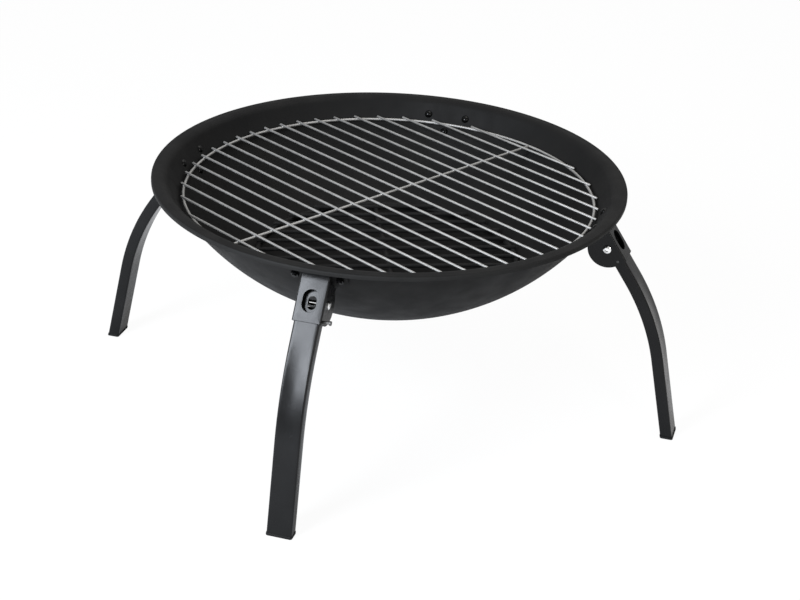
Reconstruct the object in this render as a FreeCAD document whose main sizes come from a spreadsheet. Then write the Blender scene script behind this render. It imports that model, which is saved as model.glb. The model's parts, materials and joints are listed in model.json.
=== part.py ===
"""Fire bowl grill: a pressed steel bowl on four folding legs, with a wire grill and a charcoal grate.

Millimetres, +Z up. The origin is on the floor under the middle of the bowl. Each leg folds inward about a
bolt that runs level and square to the leg, so a leg's own frame has its origin on that bolt: X outward
from the leg's face, Y along the bolt and Z up the leg. A bracket's frame has its origin at the middle of
the bowl's sphere, with X through the leg's pivot.
"""
import FreeCAD
import Part
import Sketcher
import math
import os

from FreeCAD import Placement, Rotation, Vector

SHEET_NAME = "dims"
LEG_AZIMUTHS = {"front": -90.0, "right": 0.0, "back": 90.0, "left": 180.0}
X_AXIS = Vector(1, 0, 0)
Y_AXIS = Vector(0, 1, 0)
Z_AXIS = Vector(0, 0, 1)

HEXAGON_STEP = 60.0

DRIVING_DIMENSIONS = [
    ("rim_diameter", 560.0),
    ("rim_height", 280.0),
    ("rim_flat", 16.0),
    ("rim_round", 2.5),
    ("lip_drop", 5.0),
    ("throat_round", 12.0),
    ("bowl_depth", 157.5),
    ("bowl_sheet", 1.2),
    ("pivot_drop", 45.0),
    ("leg_tilt", 34.5),
    ("tube_width", 29.0),
    ("tube_depth", 14.0),
    ("tube_wall", 1.5),
    ("tube_corner", 2.0),
    ("tube_offset", 3.5),
    ("mouth_room", 2.0),
    ("notch_room", 6.0),
    ("outer_wall_room", 1.0),
    ("inner_wall_drop", 4.5),
    ("bend_start", 48.0),
    ("bend_radius", 270.0),
    ("bend_angle", 22.5),
    ("cap_base", 3.0),
    ("cap_proud", 0.6),
    ("cap_plug_height", 12.0),
    ("cap_plug_gap", 0.2),
    ("yoke_sheet", 2.0),
    ("yoke_ear_radius", 23.0),
    ("yoke_ear_gap", 1.2),
    ("yoke_bend_round", 1.8),
    ("window_width", 18.0),
    ("window_height", 25.0),
    ("open_stop_gap", 0.3),
    ("catch_sheet", 1.5),
    ("catch_gap", 0.6),
    ("catch_side_gap", 0.5),
    ("catch_cover", 1.5),
    ("catch_root_height", 3.0),
    ("catch_weld", 0.2),
    ("catch_hole_width", 9.0),
    ("catch_hole_height", 14.5),
    ("catch_hole_drop", 1.0),
    ("plate_sheet", 2.0),
    ("plate_foot_width", 30.0),
    ("ear_side_gap", 0.5),
    ("ear_end_gap", 1.0),
    ("ear_sheet", 2.0),
    ("ear_root_width", 26.0),
    ("bolt_diameter", 5.0),
    ("bolt_head_diameter", 10.0),
    ("bolt_head_height", 3.0),
    ("bolt_edge", 8.0),
    ("upper_bolt_rise", 14.0),
    ("lower_bolt_drop", 6.0),
    ("bolt_tail", 1.5),
    ("nut_flats", 8.0),
    ("nut_height", 4.0),
    ("nut_room", 3.9),
    ("pivot_diameter", 6.0),
    ("pivot_play", 0.1),
    ("pivot_head_diameter", 9.4),
    ("pivot_head_height", 2.6),
    ("pivot_head_edge", 1.2),
    ("pivot_recess_flats", 4.0),
    ("pivot_recess_depth", 1.2),
    ("pivot_tail", 1.0),
    ("washer_diameter", 12.0),
    ("washer_gap", 0.3),
    ("pin_diameter", 3.0),
    ("pin_edge", 4.0),
    ("pin_room", 1.5),
    ("pin_reach", 8.5),
    ("pin_head_diameter", 5.0),
    ("pin_head_height", 2.0),
    ("grill_ring_inset", 21.0),
    ("grill_ring_wire", 3.2),
    ("grill_bar_wire", 2.8),
    ("grill_bar_pitch", 24.0),
    ("grill_bar_overhang", 6.5),
    ("grill_bar_azimuth", -29.9),
    ("grate_ring_radius", 157.0),
    ("grate_ring_wire", 6.0),
    ("grate_bar_wire", 5.0),
    ("grate_bar_pitch", 25.0),
    ("grate_bar_overhang", 4.0),
    ("grate_bar_azimuth", 23.0),
    ("rest_gap", 0.3),
    ("weld_sink", 0.5),
]


class Size:
    """A length or angle together with the expression that gives it from the sheet's cells."""

    def __init__(self, value, text):
        self.value = float(value)
        self.text = text

    def _join(self, other, sign, value):
        return Size(value, f"({self.text} {sign} {size(other).text})")

    def __add__(self, other):
        return self._join(other, "+", self.value + size(other).value)

    def __sub__(self, other):
        return self._join(other, "-", self.value - size(other).value)

    def __mul__(self, other):
        return self._join(other, "*", self.value * size(other).value)

    def __truediv__(self, other):
        return self._join(other, "/", self.value / size(other).value)

    def __neg__(self):
        return Size(-self.value, f"(0 - {self.text})")


def size(number):
    """A plain number as a Size, and a Size as it is."""
    if isinstance(number, Size):
        return number
    return Size(number, repr(float(number)))


def root(square):
    return Size(math.sqrt(square.value), f"sqrt({square.text})")


def sine(angle):
    return Size(math.sin(math.radians(angle.value)), f"sin({angle.text})")


def cosine(angle):
    return Size(math.cos(math.radians(angle.value)), f"cos({angle.text})")


def other_side(long_side, short_side):
    """The third side of a right triangle with this longest side."""
    return root(long_side * long_side - short_side * short_side)


def write_sheet(doc):
    """The driving dimensions, one row each, and a Size for every one of them."""
    sheet = doc.addObject("Spreadsheet::Sheet", SHEET_NAME)
    sizes = {}
    for row, (alias, value) in enumerate(DRIVING_DIMENSIONS, start=1):
        sheet.set(f"A{row}", alias)
        sheet.set(f"B{row}", str(value))
        sheet.setAlias(f"B{row}", alias)
        sizes[alias] = Size(value, f"{SHEET_NAME}.{alias}")
    doc.recompute()
    return sizes


def bind(feature, prop, length):
    """Tie one property of a feature to the sheet."""
    setattr(feature, prop, length.value)
    feature.setExpression(prop, length.text)


def origin_part(body, role):
    return next(item for item in body.Origin.OriginFeatures if item.Role == role)


def new_sketch(body, plane, lift=None):
    """An empty sketch on one of the body's own planes, raised along the plane's normal by lift."""
    sketch = body.newObject("Sketcher::SketchObject", f"{body.Name}_sketch")
    sketch.AttachmentSupport = (origin_part(body, plane), [""])
    sketch.MapMode = "FlatFace"
    if lift is not None:
        sketch.AttachmentOffset = Placement(Vector(0, 0, lift.value), Rotation())
        sketch.setExpression("AttachmentOffset.Base.z", lift.text)
    return sketch


def pin_point(sketch, edge, end, point):
    """Hold one end of an edge at a point whose two coordinates are Sizes."""
    for kind, axis, distance in (("DistanceX", -2, point[0]), ("DistanceY", -1, point[1])):
        if distance.text == "0.0":
            sketch.addConstraint(Sketcher.Constraint("PointOnObject", edge, end, axis))
            continue
        index = sketch.addConstraint(Sketcher.Constraint(kind, -1, 1, edge, end, distance.value))
        sketch.setExpression(f"Constraints[{index}]", distance.text)


def arc_between(start, end, radius, turn):
    """The arc under a half circle from start to end, turning left for turn 1 and right for turn -1."""
    chord = end - start
    reach = math.sqrt(max(radius * radius - chord.Length * chord.Length / 4.0, 0.0))
    left = Vector(-chord.y, chord.x, 0).normalize()
    centre = (start + end) * 0.5 + left * (reach * turn)
    first, last = (start, end) if turn > 0 else (end, start)
    angles = [math.atan2(point.y - centre.y, point.x - centre.x) for point in (first, last)]
    return Part.ArcOfCircle(Part.Circle(centre, Z_AXIS, radius), angles[0], angles[1])


def outline(body, plane, corners, lift=None):
    """A closed sketch through the corners: (x, y), or (x, y, radius, turn) where an arc arrives there."""
    sketch = new_sketch(body, plane, lift)
    corners = [[size(corner[0]), size(corner[1])] + list(corner[2:]) for corner in corners]
    places = [Vector(corner[0].value, corner[1].value, 0) for corner in corners]
    ends = []
    for index, corner in enumerate(corners):
        start, end = places[index - 1], places[index]
        if len(corner) == 2:
            edge = sketch.addGeometry(Part.LineSegment(start, end))
            ends.append((edge, 1, 2))
            continue
        radius, turn = size(corner[2]), corner[3]
        edge = sketch.addGeometry(arc_between(start, end, radius.value, turn))
        ends.append((edge, 1, 2) if turn > 0 else (edge, 2, 1))
        row = sketch.addConstraint(Sketcher.Constraint("Radius", edge, radius.value))
        sketch.setExpression(f"Constraints[{row}]", radius.text)
    for index, corner in enumerate(corners):
        edge, _, last = ends[index]
        following, first, _ = ends[(index + 1) % len(ends)]
        sketch.addConstraint(Sketcher.Constraint("Coincident", edge, last, following, first))
        pin_point(sketch, edge, last, corner)
    return sketch


def circle(body, plane, centre, diameter, lift=None):
    """A sketch of one circle."""
    sketch = new_sketch(body, plane, lift)
    radius = diameter / 2
    middle = Vector(size(centre[0]).value, size(centre[1]).value, 0)
    edge = sketch.addGeometry(Part.Circle(middle, Z_AXIS, radius.value))
    row = sketch.addConstraint(Sketcher.Constraint("Radius", edge, radius.value))
    sketch.setExpression(f"Constraints[{row}]", radius.text)
    pin_point(sketch, edge, 3, (size(centre[0]), size(centre[1])))
    return sketch


def oval(body, plane, width, height, level=0.0):
    """A sketch of an upright slot with round ends, with its middle at this level."""
    radius = width / 2
    top = (height - width) / 2 + level
    bottom = -(height - width) / 2 + level
    return outline(body, plane, [
        (radius, top),
        (0, top + radius, radius, 1),
        (-radius, top, radius, 1),
        (-radius, bottom),
        (0, bottom - radius, radius, 1),
        (radius, bottom, radius, 1),
    ])


def hexagon(body, plane, flats, lift):
    """A sketch of a hexagon about the sketch's origin."""
    reach = flats / math.sqrt(3.0)
    angles = [size(HEXAGON_STEP * (side + 0.5)) for side in range(6)]
    return outline(body, plane, [(reach * cosine(angle), reach * sine(angle)) for angle in angles], lift)


def new_body(doc, name):
    return doc.addObject("PartDesign::Body", name)


def pad(body, sketch, length, symmetric=True, reverse=False):
    feature = body.newObject("PartDesign::Pad", f"{body.Name}_pad")
    feature.Profile = sketch
    feature.SideType = "Symmetric" if symmetric else "One side"
    feature.Reversed = reverse
    bind(feature, "Length", length)
    return feature


def pocket(body, sketch, length=None, symmetric=True, reverse=False):
    """A cut of this length, or right through where no length is given."""
    feature = body.newObject("PartDesign::Pocket", f"{body.Name}_pocket")
    feature.Profile = sketch
    feature.SideType = "Symmetric" if symmetric else "One side"
    feature.Reversed = reverse
    if length is None:
        feature.Type = "ThroughAll"
    else:
        bind(feature, "Length", length)
    return feature


def revolve(body, sketch, axis, angle=360.0):
    feature = body.newObject("PartDesign::Revolution", f"{body.Name}_revolution")
    feature.Profile = sketch
    feature.ReferenceAxis = (origin_part(body, axis), [""])
    feature.Angle = angle
    return feature


def round_edges(body, base, radius, wanted):
    """Round the edges of the body that pass the test."""
    body.Document.recompute()
    names = [f"Edge{number}" for number, edge in enumerate(base.Shape.Edges, start=1)
             if not edge.Degenerated and wanted(edge)]
    feature = body.newObject("PartDesign::Fillet", f"{body.Name}_round")
    feature.Base = (base, names)
    bind(feature, "Radius", radius)
    return feature


def cylinder(doc, name, radius, height, placement):
    feature = doc.addObject("Part::Cylinder", name)
    bind(feature, "Radius", radius)
    bind(feature, "Height", height)
    feature.Placement = placement
    return feature


def cut(doc, name, base, tools):
    """The base less the tools, which are fused first where there are several."""
    feature = doc.addObject("Part::Cut", name)
    feature.Base = base
    if len(tools) == 1:
        feature.Tool = tools[0]
        return feature
    together = doc.addObject("Part::MultiFuse", f"{name}_tools")
    together.Shapes = tools
    feature.Tool = together
    return feature


def group(doc, name, pieces):
    """Separate pieces of one kind that share a node."""
    feature = doc.addObject("Part::Compound", name)
    feature.Links = pieces
    return feature


def turn(axis, angle):
    return Placement(Vector(), Rotation(axis, angle))


def shift(x, y, z):
    return Placement(Vector(x, y, z), Rotation())


class Layout:
    """The places that several pieces share, worked out once from the driving dimensions."""

    def __init__(self, d):
        self.rim_radius = d["rim_diameter"] / 2
        self.throat = self.rim_radius - d["rim_flat"]
        self.bowl_bottom = d["rim_height"] - d["bowl_depth"]
        inner_depth = d["bowl_depth"] - d["bowl_sheet"]
        self.inner_sphere = (self.throat * self.throat + inner_depth * inner_depth) / (inner_depth * 2)
        self.sphere = self.inner_sphere + d["bowl_sheet"]
        self.sphere_height = self.bowl_bottom + self.sphere
        self.plate_face = self.sphere + d["plate_sheet"]
        self.pivot_height = d["rim_height"] - d["pivot_drop"]
        self.pivot_reach = self.plate_face + d["yoke_ear_radius"] + d["yoke_ear_gap"]
        drop = self.sphere_height - self.pivot_height
        self.pivot_radius = other_side(self.pivot_reach, drop)
        self.pivot_dip = math.degrees(math.atan2(drop.value, self.pivot_radius.value))
        tilt = d["leg_tilt"]
        self.sphere_x = drop * sine(tilt) - self.pivot_radius * cosine(tilt)
        self.sphere_z = drop * cosine(tilt) + self.pivot_radius * sine(tilt)
        self.tube_face = d["tube_offset"] + d["tube_depth"] / 2
        self.tube_back = d["tube_offset"] - d["tube_depth"] / 2
        self.ear_width = d["tube_width"] - (d["tube_wall"] + d["ear_side_gap"]) * 2
        self.ear_end = self.tube_face - d["tube_wall"] - d["ear_end_gap"]
        self.web_face = self.tube_face + d["yoke_sheet"]
        stop = self.plate_face + d["open_stop_gap"]
        self.web_top = self.sphere_z - other_side(stop, self.tube_face - self.sphere_x)
        self.yoke_half = d["tube_width"] / 2 + d["yoke_sheet"]
        self.nut_corner = d["nut_flats"] / math.sqrt(3.0)
        self.bolt_spread = self.yoke_half + self.nut_corner + d["nut_room"]
        self.pin_drop = d["yoke_ear_radius"] - d["pin_edge"]
        self.catch_back = d["pivot_diameter"] / 2 + d["catch_gap"]
        self.catch_half = self.ear_width / 2 - d["ear_sheet"] - d["catch_side_gap"]
        self.catch_top = d["window_height"] / 2 + d["catch_cover"]
        self.catch_bottom = self.pin_drop - d["pin_diameter"] / 2 - d["pin_room"]
        self.dims = d

    def leg_frame(self, azimuth):
        d = self.dims
        tilt = turn(Y_AXIS, -d["leg_tilt"].value)
        pivot = shift(self.pivot_radius.value, 0, self.pivot_height.value)
        return turn(Z_AXIS, azimuth) * pivot * tilt

    def bracket_frame(self, azimuth):
        return turn(Z_AXIS, azimuth) * shift(0, 0, self.sphere_height.value) * turn(Y_AXIS, self.pivot_dip)

    def bolt_frames(self, azimuth):
        """One frame per bracket bolt, with Z outward along the bolt from the sphere's middle."""
        d = self.dims
        reach = self.sphere.value
        spread, rise = self.bolt_spread.value, d["upper_bolt_rise"].value
        spots = [(spread, rise), (-spread, rise), (0.0, -d["lower_bolt_drop"].value)]
        frames = []
        for across, up in spots:
            swing = turn(Z_AXIS, math.degrees(across / reach))
            lift = turn(Y_AXIS, -math.degrees(up / reach))
            frames.append(self.bracket_frame(azimuth) * swing * lift * turn(Y_AXIS, 90.0))
        return frames

    def lower_leg(self, off_centre, height):
        """The point at this height over the floor on the leg's lower stretch, in the leg's frame."""
        d = self.dims
        bend, tilt = d["bend_angle"], d["leg_tilt"]
        reach = d["bend_radius"] + off_centre
        middle_x = d["tube_offset"] - d["bend_radius"]
        x = middle_x + reach * cosine(bend)
        z = -d["bend_start"] - reach * sine(bend)
        fall = self.pivot_height + x * sine(tilt) + z * cosine(tilt) - height
        run = fall / cosine(bend - tilt)
        return x - run * sine(bend), z - run * cosine(bend)


def leg_band(layout, half_depth, top, bottom_height):
    """The leg's side view between two lines half_depth either side of its middle line."""
    d = layout.dims
    bend = d["bend_angle"]
    middle_x = d["tube_offset"] - d["bend_radius"]
    corners = []
    outer, inner = d["bend_radius"] + half_depth, d["bend_radius"] - half_depth
    corners.append((d["tube_offset"] + half_depth, top))
    corners.append((d["tube_offset"] - half_depth, top))
    corners.append((d["tube_offset"] - half_depth, -d["bend_start"]))
    corners.append((middle_x + inner * cosine(bend), -d["bend_start"] - inner * sine(bend), inner, -1))
    corners.append(layout.lower_leg(-half_depth, bottom_height))
    corners.append(layout.lower_leg(half_depth, bottom_height))
    corners.append((middle_x + outer * cosine(bend), -d["bend_start"] - outer * sine(bend)))
    corners.append((d["tube_offset"] + half_depth, -d["bend_start"], outer, 1))
    return corners


def fire_bowl(doc, layout):
    """The pressed bowl: a spherical dish with a flat rim and a lip turned down at its edge."""
    d = layout.dims
    top, sheet = d["rim_height"], d["bowl_sheet"]
    under = top - sheet
    outer_throat = other_side(layout.sphere, layout.sphere_height - under)
    body = new_body(doc, "fire_bowl_body")
    profile = outline(body, "XZ_Plane", [
        (0, layout.bowl_bottom),
        (outer_throat, under, layout.sphere, 1),
        (layout.rim_radius - sheet, under),
        (layout.rim_radius - sheet, top - d["lip_drop"]),
        (layout.rim_radius, top - d["lip_drop"]),
        (layout.rim_radius, top),
        (layout.throat, top),
        (0, layout.bowl_bottom + sheet, layout.inner_sphere, -1),
    ])
    dish = revolve(body, profile, "Z_Axis")

    def rings(radius, height):
        def wanted(edge):
            circle_edge = isinstance(edge.Curve, Part.Circle) and edge.BoundBox.ZLength < sheet.value / 10
            near = abs(edge.BoundBox.ZMax - height) < sheet.value / 10
            return circle_edge and near and abs(edge.Curve.Radius - radius) < sheet.value / 10
        return wanted

    throat = round_edges(body, dish, d["throat_round"], rings(layout.throat.value, top.value))
    throat = round_edges(body, throat, d["throat_round"] - sheet, rings(outer_throat.value, under.value))
    edge = round_edges(body, throat, d["rim_round"], rings(layout.rim_radius.value, top.value))
    lip_inside = (layout.rim_radius - sheet).value
    body.Tip = round_edges(body, edge, d["rim_round"] - sheet, rings(lip_inside, under.value))
    holes = []
    for azimuth in LEG_AZIMUTHS.values():
        for frame in layout.bolt_frames(azimuth):
            depth = layout.inner_sphere - d["bolt_head_height"]
            place = frame * shift(0, 0, depth.value)
            length = d["bolt_head_height"] * 2 + d["bowl_sheet"]
            holes.append(cylinder(doc, "bowl_bolt_hole", d["bolt_diameter"] / 2, length, place))
    return cut(doc, "fire_bowl", body, holes)


def hinge_bracket(doc, layout, side, azimuth):
    """A plate that follows the bowl, with two ears that carry the pivot bolt."""
    d = layout.dims
    sphere, face = layout.sphere, layout.plate_face
    up, down = d["upper_bolt_rise"] + d["bolt_edge"], d["lower_bolt_drop"] + d["bolt_edge"]
    top_half, foot_half = layout.bolt_spread + d["bolt_edge"], d["plate_foot_width"] / 2
    shoulder = d["upper_bolt_rise"] - d["bolt_edge"]
    body = new_body(doc, f"hinge_bracket_{side}_body")
    section = outline(body, "XZ_Plane", [
        (other_side(face, down), -down),
        (other_side(face, up), up, face, 1),
        (other_side(sphere, up), up),
        (other_side(sphere, down), -down, sphere, -1),
    ])
    plate_sweep = 2 * math.degrees(top_half.value / face.value)
    plate = revolve(body, section, "Z_Axis", plate_sweep)
    plate.Midplane = True
    for hand in (1, -1):
        taper = outline(body, "YZ_Plane", [
            (foot_half * hand, -down * 2),
            (foot_half * hand, -down / 2),
            (top_half * hand, shoulder),
            (top_half * (2 * hand), shoulder),
            (top_half * (2 * hand), -down * 2),
        ])
        plate = pocket(body, taper, face * 2)
    middle_of_plate = sphere + d["plate_sheet"] / 2
    end, reach, half = layout.ear_end, layout.pivot_reach, d["ear_root_width"] / 2
    rootline = other_side(middle_of_plate, half)
    for hand in (1, -1):
        lift = (layout.ear_width - d["ear_sheet"]) / (2 * hand)
        ear = outline(body, "XZ_Plane", [
            (rootline, -half),
            (reach, -end),
            (reach + end, 0, end, 1),
            (reach, end, end, 1),
            (rootline, half),
        ], lift)
        plate = pad(body, ear, d["ear_sheet"])
    bore = circle(body, "XZ_Plane", (reach, 0), d["pivot_diameter"] + d["pivot_play"] * 2)
    body.Tip = pocket(body, bore, layout.ear_width * 2)
    body.Placement = layout.bracket_frame(azimuth)
    holes = []
    for frame in layout.bolt_frames(azimuth):
        place = frame * shift(0, 0, (sphere - d["plate_sheet"]).value)
        holes.append(cylinder(doc, "plate_bolt_hole", d["bolt_diameter"] / 2, d["plate_sheet"] * 3, place))
    return cut(doc, f"hinge_bracket_{side}", body, holes)


def bracket_bolts(doc, layout, side, azimuth):
    """Three dome-headed bolts, with their heads inside the bowl."""
    d = layout.dims
    head, shank = d["bolt_head_diameter"] / 2, d["bolt_diameter"] / 2
    tall = d["bolt_head_height"]
    grip = d["bowl_sheet"] + d["plate_sheet"]
    bolts = []
    for frame in layout.bolt_frames(azimuth):
        body = new_body(doc, f"bracket_bolt_{side}")
        dome = (head * head + tall * tall) / (tall * 2)
        profile = outline(body, "XZ_Plane", [
            (0, -tall),
            (head, 0, dome, 1),
            (shank, 0),
            (shank, grip + d["nut_height"] + d["bolt_tail"]),
            (0, grip + d["nut_height"] + d["bolt_tail"]),
        ])
        body.Tip = revolve(body, profile, "Z_Axis")
        body.Placement = frame * shift(0, 0, layout.inner_sphere.value)
        bolts.append(body)
    return group(doc, f"bracket_bolts_{side}", bolts)


def bracket_nuts(doc, layout, side, azimuth):
    """Three hexagon nuts on the outside of the bracket's plate."""
    d = layout.dims
    nuts = []
    for frame in layout.bolt_frames(azimuth):
        place = frame * shift(0, 0, layout.plate_face.value)
        block = doc.addObject("Part::Prism", f"nut_block_{side}")
        block.Polygon = 6
        bind(block, "Circumradius", layout.nut_corner)
        bind(block, "Height", d["nut_height"])
        block.Placement = place
        bore = cylinder(doc, f"nut_bore_{side}", d["bolt_diameter"] / 2, d["nut_height"], place)
        nuts.append(cut(doc, f"bracket_nut_{side}", block, [bore]))
    return group(doc, f"bracket_nuts_{side}", nuts)


def leg_tube(doc, layout, side, azimuth):
    """The bent rectangular tube. At its mouth the inner wall alone runs up, between the bracket's ears."""
    d = layout.dims
    wall, half = d["tube_wall"], d["tube_depth"] / 2
    bore_half = d["tube_width"] / 2 - wall
    body = new_body(doc, f"leg_tube_{side}")
    side_view = outline(body, "XZ_Plane", leg_band(layout, half, -d["inner_wall_drop"], d["cap_base"]))
    bar = pad(body, side_view, d["tube_width"])

    def long_corner(edge):
        box = edge.BoundBox
        return box.YLength < wall.value / 10 and box.ZLength > d["tube_depth"].value * 2

    round_edges(body, bar, d["tube_corner"], long_corner)
    hollow = leg_band(layout, half - wall, layout.catch_top, -d["cap_base"])
    pocket(body, outline(body, "XZ_Plane", hollow), bore_half * 2)
    left, right = layout.tube_back - d["tube_depth"], layout.tube_face + d["tube_depth"]

    def cut_back(inner, outer, drop, width, middle=None):
        top = layout.catch_top
        corners = [(inner, -drop), (outer, -drop), (outer, top), (inner, top)]
        pocket(body, outline(body, "XZ_Plane", corners, middle), width)

    outer_drop = d["window_height"] / 2 + d["outer_wall_room"]
    cut_back(layout.tube_face - wall, right, outer_drop, d["tube_width"] * 2)
    mouth_drop = d["washer_diameter"] / 2 + d["mouth_room"]
    notch_drop = layout.ear_end + d["notch_room"]
    for hand in (1, -1):
        beside = (layout.catch_half + d["tube_width"]) / (2 * hand)
        cut_back(left, right, mouth_drop, d["tube_width"] - layout.catch_half, beside)
        in_wall = (layout.catch_half + bore_half) / (2 * hand)
        cut_back(left, d["tube_offset"], notch_drop, bore_half - layout.catch_half, in_wall)
    pin_place = (d["tube_offset"], -layout.pin_drop)
    body.Tip = pocket(body, circle(body, "XZ_Plane", pin_place, d["pin_diameter"]), d["tube_width"] * 2)
    body.Placement = layout.leg_frame(azimuth)
    return body


def catch_plate(doc, layout, side, azimuth):
    """The plate behind the yoke's window, welded into the tube's mouth, with a hole before the bolt."""
    d = layout.dims
    half, top, bottom = layout.catch_half, layout.catch_top, -layout.catch_bottom
    root_half = d["tube_width"] / 2 - d["tube_wall"] + d["catch_weld"]
    shoulder = bottom + d["catch_root_height"]
    body = new_body(doc, f"catch_plate_{side}")
    face = outline(body, "YZ_Plane", [
        (root_half, bottom),
        (root_half, shoulder),
        (half, shoulder),
        (half, top),
        (-half, top),
        (-half, shoulder),
        (-root_half, shoulder),
        (-root_half, bottom),
    ], layout.catch_back + d["catch_sheet"] / 2)
    pad(body, face, d["catch_sheet"])
    hole = oval(body, "YZ_Plane", d["catch_hole_width"], d["catch_hole_height"], -d["catch_hole_drop"])
    body.Tip = pocket(body, hole, d["tube_depth"] * 2)
    body.Placement = layout.leg_frame(azimuth)
    return body


def leg_yoke(doc, layout, side, azimuth):
    """The folded sheet round the leg's top: a web with an oval window and two round ears on the bolt."""
    d = layout.dims
    ear, web = d["yoke_ear_radius"], layout.tube_face
    body = new_body(doc, f"leg_yoke_{side}")
    block = pad(body, outline(body, "XZ_Plane", [
        (layout.web_face, -ear),
        (layout.web_face, layout.web_top),
        (web, layout.web_top),
        (web, other_side(ear, web)),
        (-ear, 0, ear, 1),
        (0, -ear, ear, 1),
    ]), layout.yoke_half * 2)

    def bends(edge):
        box = edge.BoundBox
        upright = box.ZLength > ear.value and box.XLength < d["yoke_sheet"].value / 10
        return upright and abs(box.XMin - layout.web_face.value) < d["yoke_sheet"].value / 10

    round_edges(body, block, d["yoke_bend_round"], bends)
    slot = outline(body, "XZ_Plane", [
        (-ear * 2, -ear * 2),
        (web, -ear * 2),
        (web, layout.web_top * 2),
        (-ear * 2, layout.web_top * 2),
    ])
    pocket(body, slot, d["tube_width"])
    pocket(body, oval(body, "YZ_Plane", d["window_width"], d["window_height"]), ear * 2)
    pocket(body, circle(body, "XZ_Plane", (0, 0), d["pivot_diameter"]), layout.yoke_half * 3)
    pin_place = (d["tube_offset"], -layout.pin_drop)
    body.Tip = pocket(body, circle(body, "XZ_Plane", pin_place, d["pin_diameter"]), layout.yoke_half * 3)
    body.Placement = layout.leg_frame(azimuth)
    return body


def foot_cap(doc, layout, side, azimuth):
    """The plug that closes the foot, level with the floor."""
    d = layout.dims
    base_half = d["tube_depth"] / 2 + d["cap_proud"]
    plug_half = d["tube_depth"] / 2 - d["tube_wall"] - d["cap_plug_gap"]
    plug_width = d["tube_width"] - d["tube_wall"] * 2 - d["cap_plug_gap"] * 2
    plug_top = d["cap_base"] + d["cap_plug_height"]
    body = new_body(doc, f"foot_cap_{side}")

    def slice_of_leg(half, low, high):
        return outline(body, "XZ_Plane", [
            layout.lower_leg(-half, low),
            layout.lower_leg(half, low),
            layout.lower_leg(half, high),
            layout.lower_leg(-half, high),
        ])

    down_leg = turn(Y_AXIS, d["bend_angle"].value).multVec(Z_AXIS)

    def runs_down_leg(edge):
        return abs(edge.tangentAt(edge.FirstParameter).dot(down_leg)) > cosine(d["bend_angle"]).value

    base = pad(body, slice_of_leg(base_half, size(0), d["cap_base"]), d["tube_width"] + d["cap_proud"] * 2)
    round_edges(body, base, d["tube_corner"] + d["cap_proud"], runs_down_leg)
    body.Tip = pad(body, slice_of_leg(plug_half, d["cap_base"] / 2, plug_top), plug_width)
    body.Placement = layout.leg_frame(azimuth)
    return body


def round_head(layout, face):
    """Profile corners of the pivot's low round head, from its crown to its rim, outward from face."""
    d = layout.dims
    head, tall, edge = d["pivot_head_diameter"] / 2, d["pivot_head_height"], d["pivot_head_edge"]
    crown = tall - edge
    dome = (head * head + crown * crown) / (crown * 2)
    return head, dome, face + tall, face + edge


def pivot_bolt(doc, layout, side, azimuth):
    """The bolt that the leg turns on, headed on the clockwise side."""
    d = layout.dims
    face = layout.yoke_half
    shank = d["pivot_diameter"] / 2
    head, dome, crown, edge = round_head(layout, face)
    body = new_body(doc, f"pivot_bolt_{side}")
    revolve(body, outline(body, "XY_Plane", [
        (0, -crown),
        (head, -edge, dome, 1),
        (head, -face),
        (shank, -face),
        (shank, face + d["pivot_tail"]),
        (0, face + d["pivot_tail"]),
    ]), "Y_Axis")
    recess = hexagon(body, "XZ_Plane", d["pivot_recess_flats"], crown)
    body.Tip = pocket(body, recess, d["pivot_recess_depth"], symmetric=False)
    body.Placement = layout.leg_frame(azimuth)
    return body


def pivot_nut(doc, layout, side, azimuth):
    """The round cap nut on the bolt's other end."""
    d = layout.dims
    face = layout.yoke_half
    shank = d["pivot_diameter"] / 2
    head, dome, crown, edge = round_head(layout, face)
    body = new_body(doc, f"pivot_nut_{side}")
    revolve(body, outline(body, "XY_Plane", [
        (0, face + d["pivot_tail"]),
        (shank, face + d["pivot_tail"]),
        (shank, face),
        (head, face),
        (head, edge),
        (0, crown, dome, 1),
    ]), "Y_Axis")
    recess = hexagon(body, "XZ_Plane", d["pivot_recess_flats"], -crown)
    body.Tip = pocket(body, recess, d["pivot_recess_depth"] / 2, symmetric=False, reverse=True)
    body.Placement = layout.leg_frame(azimuth)
    return body


def pivot_washers(doc, layout, side, azimuth):
    """Two washers that fill the room between the yoke's ears and the bracket's ears."""
    d = layout.dims
    thick = d["tube_wall"] + d["ear_side_gap"] - d["washer_gap"]
    washers = []
    for hand in (1, -1):
        face = d["tube_width"].value / 2 * hand
        place = layout.leg_frame(azimuth) * shift(0, face, 0) * turn(X_AXIS, 90.0 * hand)
        disc = cylinder(doc, f"washer_disc_{side}", d["washer_diameter"] / 2, thick, place)
        bore = cylinder(doc, f"washer_bore_{side}", d["pivot_diameter"] / 2, thick, place)
        washers.append(cut(doc, f"pivot_washer_{side}", disc, [bore]))
    return group(doc, f"pivot_washers_{side}", washers)


def cross_pin(doc, layout, side, azimuth):
    """The headed pin that ties the tube to its yoke and stands out on one side."""
    d = layout.dims
    shank, head = d["pin_diameter"] / 2, d["pin_head_diameter"] / 2
    tip = layout.yoke_half + d["pin_reach"]
    body = new_body(doc, f"cross_pin_{side}")
    body.Tip = revolve(body, outline(body, "XY_Plane", [
        (0, -layout.yoke_half),
        (shank, -layout.yoke_half),
        (shank, tip - d["pin_head_height"]),
        (head, tip - d["pin_head_height"]),
        (head, tip),
        (0, tip),
    ]), "Y_Axis")
    place = shift(d["tube_offset"].value, 0, -layout.pin_drop.value)
    body.Placement = layout.leg_frame(azimuth) * place
    return body


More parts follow.
